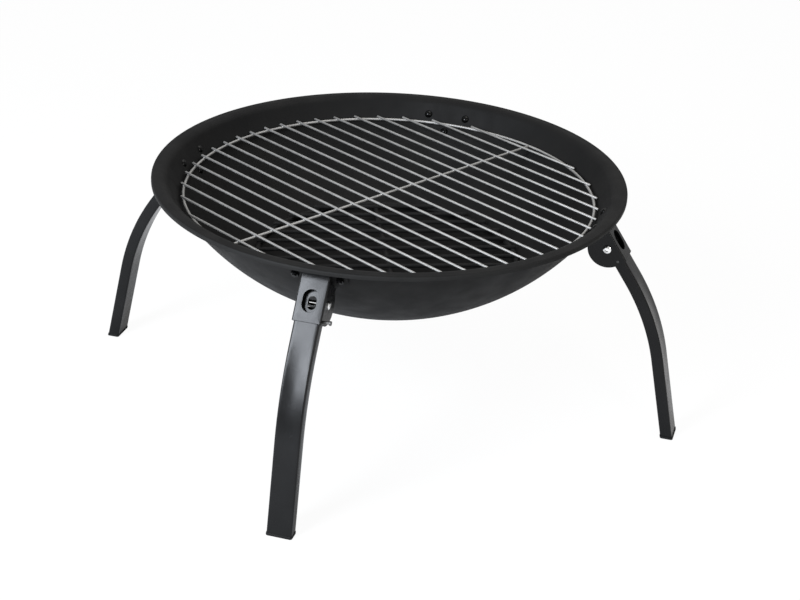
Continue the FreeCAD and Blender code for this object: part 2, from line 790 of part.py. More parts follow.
def wire_disc(doc, layout, name, ring_radius, ring_height):
    """A ring with one wire across it on the same level, and parallel bars on top of both."""
    d = layout.dims
    ring_wire, bar_wire = d[f"{name}_ring_wire"] / 2, d[f"{name}_bar_wire"] / 2
    pitch, overhang = d[f"{name}_bar_pitch"], d[f"{name}_bar_overhang"]
    count = 2 * math.floor(ring_radius.value / pitch.value + 0.25)
    facing = turn(Z_AXIS, d[f"{name}_bar_azimuth"].value)
    bar_height = ring_height + ring_wire + bar_wire - d["weld_sink"]
    ring = doc.addObject("Part::Torus", f"{name}_ring")
    bind(ring, "Radius1", ring_radius)
    bind(ring, "Radius2", ring_wire)
    ring.Placement = facing * shift(0, 0, ring_height.value)
    bars = []
    for index in range(count):
        aside = pitch * (index - (count - 1) / 2.0)
        half = other_side(ring_radius, aside) + overhang
        place = facing * shift(-half.value, aside.value, bar_height.value) * turn(Y_AXIS, 90.0)
        bars.append(cylinder(doc, f"{name}_bar", bar_wire, half * 2, place))
    across = ring_radius - ring_wire + d["weld_sink"]
    place = facing * shift(0, -across.value, ring_height.value) * turn(X_AXIS, -90.0)
    brace = cylinder(doc, f"{name}_cross_bar", ring_wire, across * 2, place)
    row = group(doc, f"{name}_bars", bars)
    return {f"{name}_ring": ring, f"{name}_bars": row, f"{name}_cross_bar": brace}


def cooking_grill(doc, layout):
    """The bright wire grill, which rests with the ends of its longest bars on the bowl's wall."""
    d = layout.dims
    first = d["grill_bar_pitch"] / 2
    ring_radius = layout.throat - d["grill_ring_inset"]
    half = other_side(ring_radius, first) + d["grill_bar_overhang"]
    reach = root(half * half + first * first) + d["rest_gap"]
    bar_under = layout.sphere_height - other_side(layout.inner_sphere, reach)
    ring_height = bar_under + d["weld_sink"] - d["grill_ring_wire"] / 2
    return wire_disc(doc, layout, "grill", ring_radius, ring_height)


def charcoal_grate(doc, layout):
    """The black grate under the coals, whose ring rests on the bowl's wall lower down."""
    d = layout.dims
    touch = layout.inner_sphere - d["grate_ring_wire"] / 2 - d["rest_gap"]
    ring_height = layout.sphere_height - other_side(touch, d["grate_ring_radius"])
    return wire_disc(doc, layout, "grate", d["grate_ring_radius"], ring_height)


def build(doc):
    """Every sub-part of the fire bowl, by the name of its node."""
    layout = Layout(write_sheet(doc))
    parts = {"fire_bowl": fire_bowl(doc, layout)}
    parts.update(cooking_grill(doc, layout))
    parts.update(charcoal_grate(doc, layout))
    leg_pieces = (hinge_bracket, bracket_bolts, bracket_nuts, leg_tube, catch_plate, leg_yoke, foot_cap,
                  pivot_bolt, pivot_nut, pivot_washers, cross_pin)
    for side, azimuth in LEG_AZIMUTHS.items():
        for make in leg_pieces:
            parts[f"{make.__name__}_{side}"] = make(doc, layout, side, azimuth)
    for name, feature in parts.items():
        feature.Label = name
    doc.recompute()
    return parts


def check(doc, parts):
    """Stop if an object failed, or a sub-part has no sound shape."""
    for feature in doc.Objects:
        if "Invalid" in feature.State or "Error" in feature.State:
            raise RuntimeError(f"{feature.Name} failed: {feature.State}")
    for name, feature in parts.items():
        shape = feature.Shape
        if shape.isNull() or not shape.isValid() or not shape.Solids:
            raise RuntimeError(f"{name} has no sound shape")


def main():
    doc = FreeCAD.newDocument("fire_bowl_grill")
    parts = build(doc)
    check(doc, parts)
    os.makedirs("parts", exist_ok=True)
    for name, feature in parts.items():
        feature.Shape.exportStep(os.path.join("parts", f"{name}.step"))
        print(name, len(feature.Shape.Solids), round(feature.Shape.Volume, 1))


main()
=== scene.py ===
# %% [markdown]
# # A folding fire bowl with a grill
#
# The object is a pressed steel bowl on four hinged legs. A bright wire grill lies in its mouth,
# and a black grate for the coals lies deeper. The CAD model is already built, with its hinges,
# bolts and walls, so this lesson only dresses it: Blender never moves a CAD piece.
#
# We load that model as a fixed frame. Blender counts in metres, so a size in millimetres is
# written as a number times MM.

# %% Load the frame
import json
import math

import bmesh
import bpy
import numpy as np
from mathutils import Matrix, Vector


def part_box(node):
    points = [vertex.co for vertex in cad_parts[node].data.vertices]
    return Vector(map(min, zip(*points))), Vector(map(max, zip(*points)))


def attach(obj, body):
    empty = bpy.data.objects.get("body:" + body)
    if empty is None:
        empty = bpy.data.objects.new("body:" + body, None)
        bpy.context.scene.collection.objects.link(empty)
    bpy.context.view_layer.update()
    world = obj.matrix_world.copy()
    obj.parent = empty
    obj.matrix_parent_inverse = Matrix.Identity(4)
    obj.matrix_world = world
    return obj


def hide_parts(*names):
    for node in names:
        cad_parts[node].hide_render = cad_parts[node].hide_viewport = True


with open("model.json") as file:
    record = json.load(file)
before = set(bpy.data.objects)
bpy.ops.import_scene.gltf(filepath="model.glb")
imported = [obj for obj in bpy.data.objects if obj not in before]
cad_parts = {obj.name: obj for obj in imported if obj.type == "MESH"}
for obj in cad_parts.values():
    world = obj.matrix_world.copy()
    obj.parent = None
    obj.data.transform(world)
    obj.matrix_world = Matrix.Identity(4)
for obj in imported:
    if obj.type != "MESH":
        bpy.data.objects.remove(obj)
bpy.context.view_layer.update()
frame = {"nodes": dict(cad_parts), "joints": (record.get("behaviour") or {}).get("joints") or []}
nodes = frame["nodes"]
SCENE = bpy.context.scene
MM = 0.001

# %% [markdown]
# ## The camera
#
# The picture was taken from about a metre up and two metres away, looking down on the rim, which
# shows as a broad ellipse. The lens follows from that ellipse and from how fast the legs shrink
# with distance. Yaw, pitch and roll build three crossed directions, and these are the columns of
# the camera's matrix. That is exact, where a Track To constraint would lose the slight roll.

# %% Camera
PICTURE_WIDTH_PX = 800
FOCAL_PX = 1750.0
SENSOR_MM = 36.0
EYE = np.array([0.0, -1.91513, 1.07489])
YAW, PITCH, ROLL = 0.0096, 0.4653, 0.0447
TURN_TO_FRAME = math.radians(16.39)
UP = np.array([0.0, 0.0, 1.0])


def turned(vector, angle):
    """A vector, or an array of them, turned about the upright axis: the plane rotation of x and y."""
    x, y, z = np.moveaxis(np.asarray(vector, float), -1, 0)
    return np.stack([
        x * math.cos(angle) - y * math.sin(angle),
        x * math.sin(angle) + y * math.cos(angle),
        z,
    ], axis=-1)


def placed(x_axis, y_axis, z_axis, place):
    """The matrix whose first three columns are directions and whose last column is a place."""
    matrix = np.eye(4)
    matrix[:3] = np.stack([x_axis, y_axis, z_axis, place], axis=-1)
    return Matrix(matrix.tolist())


ahead = np.array([
    math.sin(YAW) * math.cos(PITCH),
    math.cos(YAW) * math.cos(PITCH),
    -math.sin(PITCH),
])
level_right = np.cross(ahead, UP)
level_right /= np.linalg.norm(level_right)
level_up = np.cross(level_right, ahead)
right = level_right * math.cos(ROLL) + level_up * math.sin(ROLL)
upward = level_up * math.cos(ROLL) - level_right * math.sin(ROLL)
columns = turned([right, upward, -ahead, EYE], TURN_TO_FRAME)

camera_data = bpy.data.cameras.new("camera")
camera_data.sensor_width = SENSOR_MM
camera_data.lens = FOCAL_PX / PICTURE_WIDTH_PX * SENSOR_MM
camera = bpy.data.objects.new("camera", camera_data)
SCENE.collection.objects.link(camera)
camera.matrix_world = placed(*columns)
bpy.context.scene.camera = camera
print("camera at", np.round(columns[3], 3), "lens", round(camera_data.lens, 2), "mm")

# %% [markdown]
# ## One way to make every surface
#
# A piece is a sheet of points: rows along it, columns round it. Whole families of equal pieces,
# such as twenty bars, are just more sheets in the same array. The helper turns the array into
# quads by index arithmetic, merges the rows that shrink to a point, and checks the signed volume,
# so that the faces of a closed piece always point outwards.

# %% Grid surfaces
MERGE_DISTANCE = 1e-6
SMOOTH_LIMIT_DEG = 40.0


def quads_of(sheets, rows, columns, close_rows, close_columns):
    """Corner numbers of every quad: each point with its neighbours in the next row and column."""
    row = np.arange(rows if close_rows else rows - 1)
    column = np.arange(columns if close_columns else columns - 1)
    sheet = np.arange(sheets) * rows * columns
    here, beside = row * columns, (row + 1) % rows * columns
    left, after = column, (column + 1) % columns
    corners = [
        here[:, None] + left[None],
        here[:, None] + after[None],
        beside[:, None] + after[None],
        beside[:, None] + left[None],
    ]
    one_sheet = np.stack(corners, axis=-1).reshape(1, -1, 4)
    return (one_sheet + sheet[:, None, None]).reshape(-1, 4)


def signed_volume(points, quads):
    """The sum over all triangles of a . (b x c) / 6, positive where the faces point outwards."""
    a, b, c, d = (points[quads[:, k]] for k in range(4))
    first = np.einsum("ij,ij->i", a, np.cross(b, c))
    second = np.einsum("ij,ij->i", a, np.cross(c, d))
    return float((first + second).sum() / 6.0)


def surface(name, points, close_rows=False, close_columns=True, sharp_deg=SMOOTH_LIMIT_DEG):
    """A smooth mesh object from an array of sheets, rows, columns and x, y, z. A quad with one
    corner doubled becomes a triangle, and one with more doubled is left out."""
    points = np.asarray(points, float)
    if points.ndim == 3:
        points = points[None]
    sheets, rows, columns = points.shape[:3]
    flat = points.reshape(-1, 3)
    quads = quads_of(sheets, rows, columns, close_rows, close_columns)
    if signed_volume(flat, quads) < 0:
        quads = quads[:, ::-1]
    merged, place_of = np.unique(np.round(flat / MERGE_DISTANCE), axis=0, return_inverse=True)
    quads = place_of.reshape(-1)[quads]
    doubled = (np.diff(np.sort(quads, axis=1), axis=1) == 0).sum(axis=1)
    faces = quads[doubled == 0].tolist()
    faces += [list(dict.fromkeys(quad)) for quad in quads[doubled == 1].tolist()]
    mesh = bpy.data.meshes.new(name)
    mesh.from_pydata((merged * MERGE_DISTANCE).tolist(), [], faces)
    mesh.polygons.foreach_set("use_smooth", np.ones(len(mesh.polygons), bool))
    mesh.set_sharp_from_angle(angle=math.radians(sharp_deg))
    mesh.update()
    piece = bpy.data.objects.new(name, mesh)
    SCENE.collection.objects.link(piece)
    print(name, len(faces), "faces")
    return piece


print("a sheet of 3 by 3 points has", len(quads_of(1, 3, 3, False, False)), "quads")

# %% [markdown]
# ## Light, floor and background
#
# The object stands on white, in soft light. A brighter lamp could whiten the background, but it
# would bleach the object too. So the Light Path node asks who looks: the camera sees white,
# glossy metal sees a share of it, and what falls on the object is only a weak fill.

# %% White room
WHITE = (1.0, 1.0, 1.0, 1.0)
SKY_FILL, SKY_MIRRORED = 0.28, 0.65


def math_node(tree, operation, *values):
    """A Math node of the operation, with each input linked to a socket or set to a number."""
    node = tree.nodes.new("ShaderNodeMath")
    node.operation = operation
    for place, value in enumerate(values):
        if isinstance(value, bpy.types.NodeSocket):
            tree.links.new(value, node.inputs[place])
        else:
            node.inputs[place].default_value = value
    return node.outputs[0]


def seen_white(tree, mirrored):
    """The larger of 1 for camera rays and a mirrored share for glossy and transmission rays."""
    path = tree.nodes.new("ShaderNodeLightPath")
    seen = path.outputs["Is Camera Ray"]
    for kind in ("Is Glossy Ray", "Is Transmission Ray"):
        part = math_node(tree, "MULTIPLY", path.outputs[kind], mirrored)
        seen = math_node(tree, "MAXIMUM", seen, part)
    return seen


def white_glow(tree, kind, strength):
    """A white Background or Emission shader."""
    node = tree.nodes.new(kind)
    node.inputs["Color"].default_value = WHITE
    node.inputs["Strength"].default_value = strength
    return node.outputs[0]


def mixed(tree, factor, first, second):
    """Two shaders mixed: first times 1 - factor, plus second times factor."""
    mix = tree.nodes.new("ShaderNodeMixShader")
    for place, source in enumerate((factor, first, second)):
        tree.links.new(source, mix.inputs[place])
    return mix.outputs[0]


SCENE.view_settings.view_transform = "Standard"
world = bpy.data.worlds.new("white_room")
SCENE.world = world
world.use_nodes = True
sky = world.node_tree
sky.nodes.clear()
fill = white_glow(sky, "ShaderNodeBackground", SKY_FILL)
shown = white_glow(sky, "ShaderNodeBackground", 1.0)
room = sky.nodes.new("ShaderNodeOutputWorld")
sky.links.new(mixed(sky, seen_white(sky, SKY_MIRRORED), fill, shown), room.inputs["Surface"])
print("room: fill", SKY_FILL, "mirrored share", SKY_MIRRORED)

# %% [markdown]
# The floor is a plain pale sheet, a hair below the feet. It is matt, so it keeps the object's
# shadow, and like the room it glows white for the camera.

# %% Floor
FLOOR_REACH, FLOOR_LEVEL, FLOOR_LINES = 9.0, -0.4 * MM, 3
FLOOR_TONE = (0.86, 0.86, 0.86, 1.0)
FLOOR_GLOW, FLOOR_MIRRORED = 0.95, 0.25

floor_paint = bpy.data.materials.new("white_floor")
floor_paint.use_nodes = True
floor_tree = floor_paint.node_tree
floor_tree.nodes.clear()
matt = floor_tree.nodes.new("ShaderNodeBsdfDiffuse")
matt.inputs["Color"].default_value = FLOOR_TONE
glow = white_glow(floor_tree, "ShaderNodeEmission", 1.0)
share = math_node(floor_tree, "MULTIPLY", seen_white(floor_tree, FLOOR_MIRRORED), FLOOR_GLOW)
floor_out = floor_tree.nodes.new("ShaderNodeOutputMaterial")
floor_tree.links.new(mixed(floor_tree, share, matt.outputs[0], glow), floor_out.inputs["Surface"])

floor_line = np.linspace(-FLOOR_REACH, FLOOR_REACH, FLOOR_LINES)
floor_x, floor_y = np.meshgrid(floor_line, floor_line)
floor_points = np.stack([floor_x, floor_y, np.full_like(floor_x, FLOOR_LEVEL)], axis=-1)
floor = surface("studio_floor", floor_points, close_columns=False)
floor.data.materials.append(floor_paint)

# %% [markdown]
# The lamps are softboxes. A tall one stands to the left of the camera: the flat top of the front
# leg mirrors it, and the lower leg mirrors the room below it, which is why that leg fades from
# grey to black. A weak one overhead and a narrow one on the right soften the shadows.

# %% Softboxes
COOL, WARM = (0.87, 0.92, 1.0), (1.0, 0.97, 0.93)
# A hair off upright, so that a lamp straight above its aim would still get an x axis.
NEARLY_UP = UP + 1e-3
SOFTBOXES = {
    "softbox_by_camera": dict(place=(-0.93, -1.96, 1.3), aim=(0.0, -0.25, 0.2), size=(0.75, 1.35),
                              watts=130.0, tint=COOL),
    "softbox_overhead": dict(place=(0.3, 0.6, 2.3), aim=(0.0, 0.0, 0.2), size=(1.6, 1.6),
                             watts=28.0, tint=WARM),
    "softbox_right": dict(place=(1.7, -1.6, 0.9), aim=(0.0, 0.0, 0.2), size=(0.4, 1.0),
                          watts=16.0, tint=WARM),
}


def softbox(name, place, aim, size, watts, tint):
    """A rectangular lamp. It shines along its own -z, so its z axis points from the aim to its
    place, and its x axis is the cross product of nearly upright and z."""
    lamp = bpy.data.lights.new(name, "AREA")
    lamp.shape = "RECTANGLE"
    lamp.size, lamp.size_y = size
    lamp.energy = watts
    lamp.color = tint
    back = np.array(place) - np.array(aim)
    back /= np.linalg.norm(back)
    across = np.cross(NEARLY_UP, back)
    across /= np.linalg.norm(across)
    holder = bpy.data.objects.new(name, lamp)
    holder.matrix_world = placed(across, np.cross(back, across), back, place)
    SCENE.collection.objects.link(holder)


for lamp_name, lamp_plan in SOFTBOXES.items():
    softbox(lamp_name, **lamp_plan)
print("lamps:", ", ".join(SOFTBOXES))

# %% [markdown]
# ## Finishes
#
# Nine finishes cover the object. The bowl wears a dull heat-proof black, the legs a smoother
# powder coat, the grill bright plating and the grate a matt black. The small hardware is zinc
# plated or dark, and the feet are moulded plastic. None of them is one flat colour: each reads
# Object coordinates into noise at the scale of the real coat, for its tone, its gloss and a fine
# relief. A number that is the same all over goes straight onto the shader's socket.

# %% Finishes
FINISHES = {}
NOISE_SPAN = (0.3, 0.7)
TONE_DETAIL, GLOSS_DETAIL, RELIEF_DETAIL = 5.0, 3.0, 2.0
GLOSS_FINER = 2.7


def object_coords(tree):
    """Places on the piece in metres, from the object's origin."""
    return tree.nodes.new("ShaderNodeTexCoord").outputs["Object"]


def noise(tree, coords, scale, detail):
    """Noise at so many grains per metre, mostly within NOISE_SPAN."""
    grain = tree.nodes.new("ShaderNodeTexNoise")
    grain.inputs["Scale"].default_value = scale
    grain.inputs["Detail"].default_value = detail
    tree.links.new(coords, grain.inputs["Vector"])
    return grain.outputs["Fac"]


def spread(tree, value, span, onto=(0.0, 1.0)):
    """The straight line that takes the ends of a span onto two other values, and stays there beyond."""
    node = tree.nodes.new("ShaderNodeMapRange")
    node.inputs["From Min"].default_value, node.inputs["From Max"].default_value = span
    node.inputs["To Min"].default_value, node.inputs["To Max"].default_value = onto
    tree.links.new(value, node.inputs["Value"])
    return node.outputs["Result"]


def finish(slot_name, dark, light, patch, gloss, relief, metallic=0.0, specular=0.5):
    """A coat or metal: patch = grains per metre of its tone, gloss = (low, high) roughness,
    relief = (grains per metre, height in metres, strength) of its surface."""
    material = bpy.data.materials.new(slot_name)
    material.use_nodes = True
    tree = material.node_tree
    shader = tree.nodes["Principled BSDF"]
    coords = object_coords(tree)
    tone = tree.nodes.new("ShaderNodeMix")
    tone.data_type = "RGBA"
    tone.inputs["A"].default_value = (*dark, 1.0)
    tone.inputs["B"].default_value = (*light, 1.0)
    patches = spread(tree, noise(tree, coords, patch, TONE_DETAIL), NOISE_SPAN)
    tree.links.new(patches, tone.inputs["Factor"])
    tree.links.new(tone.outputs["Result"], shader.inputs["Base Color"])
    rough = spread(tree, noise(tree, coords, patch * GLOSS_FINER, GLOSS_DETAIL), NOISE_SPAN, gloss)
    tree.links.new(rough, shader.inputs["Roughness"])
    grains, height, strength = relief
    bump = tree.nodes.new("ShaderNodeBump")
    bump.inputs["Distance"].default_value = height
    bump.inputs["Strength"].default_value = strength
    tree.links.new(noise(tree, coords, grains, RELIEF_DETAIL), bump.inputs["Height"])
    tree.links.new(bump.outputs["Normal"], shader.inputs["Normal"])
    shader.inputs["Metallic"].default_value = metallic
    shader.inputs["Specular IOR Level"].default_value = specular
    FINISHES[slot_name] = material


finish("bowl_paint", (0.003, 0.003, 0.0031), (0.0052, 0.0051, 0.0049), 14.0, (0.57, 0.7),
       (900.0, 0.0003, 0.25), specular=0.09)
finish("leg_paint", (0.0032, 0.0033, 0.0034), (0.0052, 0.0053, 0.0055), 22.0, (0.22, 0.29),
       (700.0, 0.0002, 0.1), specular=0.135)
finish("grill_wire", (0.245, 0.243, 0.236), (0.315, 0.312, 0.304), 60.0, (0.56, 0.68),
       (900.0, 0.0002, 0.2), metallic=1.0)
finish("grate_wire", (0.004, 0.004, 0.004), (0.009, 0.0087, 0.0083), 40.0, (0.7, 0.82),
       (800.0, 0.0003, 0.3), specular=0.15)
finish("black_bolt", (0.0008, 0.0008, 0.0008), (0.0018, 0.0018, 0.0019), 120.0, (0.07, 0.13),
       (1500.0, 0.0001, 0.1), specular=0.11)
finish("zinc_nut", (0.42, 0.42, 0.41), (0.55, 0.55, 0.54), 150.0, (0.32, 0.46),
       (1500.0, 0.0001, 0.2), metallic=1.0)
finish("zinc_bolt", (0.6, 0.6, 0.59), (0.74, 0.74, 0.73), 150.0, (0.07, 0.13),
       (1500.0, 0.0001, 0.05), metallic=1.0)
finish("dark_pin", (0.06, 0.06, 0.06), (0.1, 0.098, 0.095), 200.0, (0.5, 0.65),
       (1500.0, 0.0001, 0.2), metallic=1.0)
finish("foot_plastic", (0.003, 0.003, 0.003), (0.006, 0.006, 0.006), 80.0, (0.5, 0.62),
       (1200.0, 0.0002, 0.3), specular=0.12)
print("finishes:", ", ".join(FINISHES))

# %% [markdown]
# Two places differ from the rest of their coat. The turned-down edge of the rim gets a painted
# sheen, a little paler, in place of the lamp's reflection on the lip. Its mask is the distance from
# the bowl's axis, the length of x and y in Object coordinates, and noise breaks it up. The pivot
# bolts are bright outside, but between the ears, where the yoke shades them, their shafts get a
# painted shade. They lie across the x and y axes, so the smaller of |x| and |y| is the way along a
# bolt from its middle.

# %% Painted sheen on the lip and painted shade on the shafts
# Painted sheen: the lip's paler tone stands in for the lamp's reflection there.
LIP_SHEEN_RADII = (278.4 * MM, 279.3 * MM)
LIP_SHEEN_TONE = (0.0095, 0.0095, 0.0092, 1.0)
LIP_SHEEN_PATCH, LIP_SHEEN_DETAIL, LIP_SHEEN_SHARE = 45.0, 4.0, (0.6, 1.0)
SHAFT_REACH = (11.0 * MM, 13.0 * MM)
# Painted shade: the shafts' dark tone between the ears, where the yoke shades them.
SHAFT_SHADE_TONE = (0.035, 0.034, 0.032, 1.0)


def blend_tone(material, mask, first, second):
    """Mix two tones: first where the mask is 0, second where it is 1. None is the material's own."""
    tree = material.node_tree
    shader = tree.nodes["Principled BSDF"]
    plain = shader.inputs["Base Color"].links[0].from_socket
    blend = tree.nodes.new("ShaderNodeMix")
    blend.data_type = "RGBA"
    tree.links.new(mask, blend.inputs["Factor"])
    for place, tone in (("A", first), ("B", second)):
        if tone is None:
            tree.links.new(plain, blend.inputs[place])
        else:
            blend.inputs[place].default_value = tone
    tree.links.new(blend.outputs["Result"], shader.inputs["Base Color"])


def level_sizes(tree):
    """|x|, |y| and plain z of Object coordinates."""
    axes = tree.nodes.new("ShaderNodeSeparateXYZ")
    tree.links.new(object_coords(tree), axes.inputs[0])
    return [
        math_node(tree, "ABSOLUTE", axes.outputs["X"]),
        math_node(tree, "ABSOLUTE", axes.outputs["Y"]),
        axes.outputs["Z"],
    ]


def shade_shafts(material):
    """Paint shade onto a bolt where the smaller of |x| and |y| is short."""
    tree = material.node_tree
    size_x, size_y, _ = level_sizes(tree)
    along = math_node(tree, "MINIMUM", size_x, size_y)
    blend_tone(material, spread(tree, along, SHAFT_REACH), SHAFT_SHADE_TONE, None)


def paint_lip_sheen(material):
    """Paint a paler sheen onto a coat in patches, where the length of (x, y) is beyond a radius."""
    tree = material.node_tree
    coords = object_coords(tree)
    level = tree.nodes.new("ShaderNodeVectorMath")
    level.operation = "MULTIPLY"
    level.inputs[1].default_value = (1.0, 1.0, 0.0)
    tree.links.new(coords, level.inputs[0])
    reach = tree.nodes.new("ShaderNodeVectorMath")
    reach.operation = "LENGTH"
    tree.links.new(level.outputs[0], reach.inputs[0])
    outside = spread(tree, reach.outputs["Value"], LIP_SHEEN_RADII)
    patches = spread(tree, noise(tree, coords, LIP_SHEEN_PATCH, LIP_SHEEN_DETAIL), NOISE_SPAN, LIP_SHEEN_SHARE)
    blend_tone(material, math_node(tree, "MULTIPLY", outside, patches), None, LIP_SHEEN_TONE)


paint_lip_sheen(FINISHES["bowl_paint"])
shade_shafts(FINISHES["zinc_bolt"])
print("painted lip sheen beyond", LIP_SHEEN_RADII[0] / MM, "mm, painted shaft shade within", SHAFT_REACH[0] / MM, "mm")

# %% [markdown]
# ## The CAD pieces
#
# Every CAD piece first gets the finish of its slot. The bolts, nuts, washers and pins are right
# as they are, so they keep their meshes. The next cells copy the pressings with softer edges and
# remake the bowl, the wires and the tubes, and each new piece then stands for its CAD node.

# %% Finish the CAD pieces
NODE_FINISH = {
    "fire_bowl": "bowl_paint", "grill": "grill_wire", "grate": "grate_wire",
    "hinge_bracket": "bowl_paint", "leg_tube": "leg_paint", "leg_yoke": "leg_paint",
    "catch_plate": "leg_paint", "bracket_bolts": "black_bolt", "bracket_nuts": "black_bolt",
    "pivot_bolt": "zinc_bolt", "pivot_nut": "zinc_bolt", "pivot_washers": "zinc_nut",
    "cross_pin": "dark_pin", "foot_cap": "foot_plastic",
}
for node_name, node in nodes.items():
    start = next(key for key in NODE_FINISH if node_name.startswith(key))
    node.data.materials.clear()
    node.data.materials.append(FINISHES[NODE_FINISH[start]])
print("finished", len(nodes), "CAD pieces")

# %% [markdown]
# Stamped steel has no razor edges: the die and the paint leave them half a millimetre round, and
# those thin rounds catch the light. For the pressings, and the foot caps with them, we copy the
# CAD mesh, merge its points, join the triangles of each flat face, and let a Bevel modifier round
# every edge sharper than the limit.

# %% Soft edges on the pressings
LEG_AZIMUTHS = {"front": -90.0, "right": 0.0, "back": 90.0, "left": 180.0}
SIDES = tuple(LEG_AZIMUTHS)
EDGE_ROUND, EDGE_SEGMENTS = 0.45 * MM, 2
EDGE_LIMIT = math.radians(42.0)
FLAT_LIMIT = math.radians(1.0)
PRESSINGS = {"hinge_bracket": "bowl", "leg_yoke": "leg", "catch_plate": "leg", "foot_cap": "leg"}


def dress(piece, body, slot_name, *stands_for):
    """The piece rides on a body, takes a slot's finish and stands for the CAD nodes named."""
    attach(piece, body)
    if stands_for:
        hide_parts(*stands_for)
    piece.data.materials.clear()
    piece.data.materials.append(FINISHES[slot_name])


def soft_edged(node_name):
    """A CAD piece with joined flat faces and rounded edges."""
    mesh = nodes[node_name].data.copy()
    mesh.transform(nodes[node_name].matrix_world)
    solid = bmesh.new()
    solid.from_mesh(mesh)
    bmesh.ops.remove_doubles(solid, verts=solid.verts, dist=MERGE_DISTANCE)
    bmesh.ops.dissolve_limit(solid, angle_limit=FLAT_LIMIT, verts=solid.verts, edges=solid.edges)
    solid.to_mesh(mesh)
    solid.free()
    mesh.polygons.foreach_set("use_smooth", np.ones(len(mesh.polygons), bool))
    mesh.set_sharp_from_angle(angle=EDGE_LIMIT)
    piece = bpy.data.objects.new(f"{node_name}_soft", mesh)
    SCENE.collection.objects.link(piece)
    bevel = piece.modifiers.new("soft_edges", "BEVEL")
    bevel.width = EDGE_ROUND
    bevel.segments = EDGE_SEGMENTS
    bevel.limit_method = "ANGLE"
    bevel.angle_limit = EDGE_LIMIT
    bevel.harden_normals = True
    return piece


for pressing, carrier in PRESSINGS.items():
    for side in SIDES:
        body = carrier if carrier == "bowl" else f"leg_{side}"
        node_name = f"{pressing}_{side}"
        dress(soft_edged(node_name), body, NODE_FINISH[pressing], node_name)
print("soft edges on", len(PRESSINGS) * len(SIDES), "pieces")

# %% [markdown]
# ## The bowl
#
# The real bowl is one sheet of steel, 1.2 mm thick, pressed into a shallow dish. Its mouth bends
# out into a flat rim, and the rim's edge is turned down. A lathe is the natural way: draw the
# middle line of the sheet, step half a thickness to each side of it, and spin the closed outline.
# The line is part of a circle for the dish, an arc at the throat, a straight run for the rim, and
# a tighter arc down into the lip.

# %% Middle line of the bowl's sheet
SHEET = 1.2 * MM
RIM_RADIUS, RIM_TOP = 280.0 * MM, 280.0 * MM
THROAT_RADIUS, BOWL_DEPTH = 264.0 * MM, 157.5 * MM
THROAT_ROUND, RIM_ROUND, LIP_DROP = 12.0 * MM, 2.5 * MM, 5.0 * MM
WALL_RUN = 20.0 * MM
DISH_STEPS, THROAT_STEPS, FLAT_STEPS, RIM_STEPS, LIP_STEPS = 56, 13, 6, 9, 4


def fillet(before, corner, after, radius, steps):
    """Points of the arc that rounds a corner: tangent to both runs, at radius from its middle."""
    run_in = (before - corner) / np.linalg.norm(before - corner)
    run_out = (after - corner) / np.linalg.norm(after - corner)
    half = math.acos(float(np.clip(run_in @ run_out, -1.0, 1.0))) / 2.0
    bisector = (run_in + run_out) / np.linalg.norm(run_in + run_out)
    middle = corner + bisector * radius / math.sin(half)
    start = corner + run_in * radius / math.tan(half) - middle
    end = corner + run_out * radius / math.tan(half) - middle
    share = np.linspace(0.0, 1.0, steps)[:, None]
    blend = start * (1.0 - share) + end * share
    return middle + blend / np.linalg.norm(blend, axis=1)[:, None] * radius


inner_depth = BOWL_DEPTH - SHEET
inner_sphere = (THROAT_RADIUS ** 2 + inner_depth ** 2) / (2.0 * inner_depth)
sphere = inner_sphere + SHEET / 2.0
sphere_top = RIM_TOP - BOWL_DEPTH + SHEET / 2.0 + sphere
flange_level = RIM_TOP - SHEET / 2.0
throat_mid = math.sqrt(sphere ** 2 - (sphere_top - flange_level) ** 2)
throat_corner = np.array([throat_mid, flange_level])
rim_corner = np.array([RIM_RADIUS - SHEET / 2.0, flange_level])
lip_end = np.array([RIM_RADIUS - SHEET / 2.0, RIM_TOP - LIP_DROP])
wall_angle = math.asin(throat_mid / sphere)
down_wall = throat_corner - np.array([math.cos(wall_angle), math.sin(wall_angle)]) * WALL_RUN
throat_arc = fillet(down_wall, throat_corner, rim_corner, THROAT_ROUND - SHEET / 2.0, THROAT_STEPS)
rim_arc = fillet(throat_corner, rim_corner, lip_end, RIM_ROUND - SHEET / 2.0, RIM_STEPS)
wall_end = math.asin(throat_arc[0, 0] / sphere)
polar = wall_end * np.linspace(0.0, 1.0, DISH_STEPS)[:-1]
dish = np.stack([sphere * np.sin(polar), sphere_top - sphere * np.cos(polar)], axis=-1)
flat_rim = np.linspace(throat_arc[-1], rim_arc[0], FLAT_STEPS)[1:-1]
lip = np.linspace(rim_arc[-1], lip_end, LIP_STEPS)[1:]
middle_line = np.concatenate([dish, throat_arc, flat_rim, rim_arc, lip])
print("bowl: sphere", round(sphere / MM, 2), "mm, throat", round(throat_mid / MM, 2), "mm")

# %% [markdown]
# The sheet's two faces lie half a thickness to each side of that line. A Solidify modifier could
# thicken a spun line as well. Working out both faces keeps the bowl inside its CAD box and gives
# the lip its cut edge in the same mesh.

# %% Spin the bowl
LATHE_STEPS = 256
LIP_SHARP_DEG = 50.0


def two_sides(line, half_thickness):
    """The two lines half a thickness either side of a line of r, z points, along its normals."""
    along = np.gradient(line, axis=0)
    along /= np.linalg.norm(along, axis=1)[:, None]
    normal = np.stack([along[:, 1], -along[:, 0]], axis=-1)
    return line + normal * half_thickness, line - normal * half_thickness


def lathe(profile, steps):
    """Each profile point r, z carried round the upright axis: x = r cos t, y = r sin t."""
    angle = np.linspace(0.0, 2.0 * math.pi, steps, endpoint=False)
    r, z = profile[:, :1], profile[:, 1:]
    return np.stack([r * np.cos(angle), r * np.sin(angle), z + 0.0 * angle], axis=-1)


outside, inside = two_sides(middle_line, SHEET / 2.0)
outside[0, 0] = inside[0, 0] = 0.0
bowl_profile = np.concatenate([outside, inside[::-1]])
bowl = surface("bowl_shell", lathe(bowl_profile, LATHE_STEPS), sharp_deg=LIP_SHARP_DEG)
dress(bowl, "bowl", "bowl_paint", "fire_bowl")

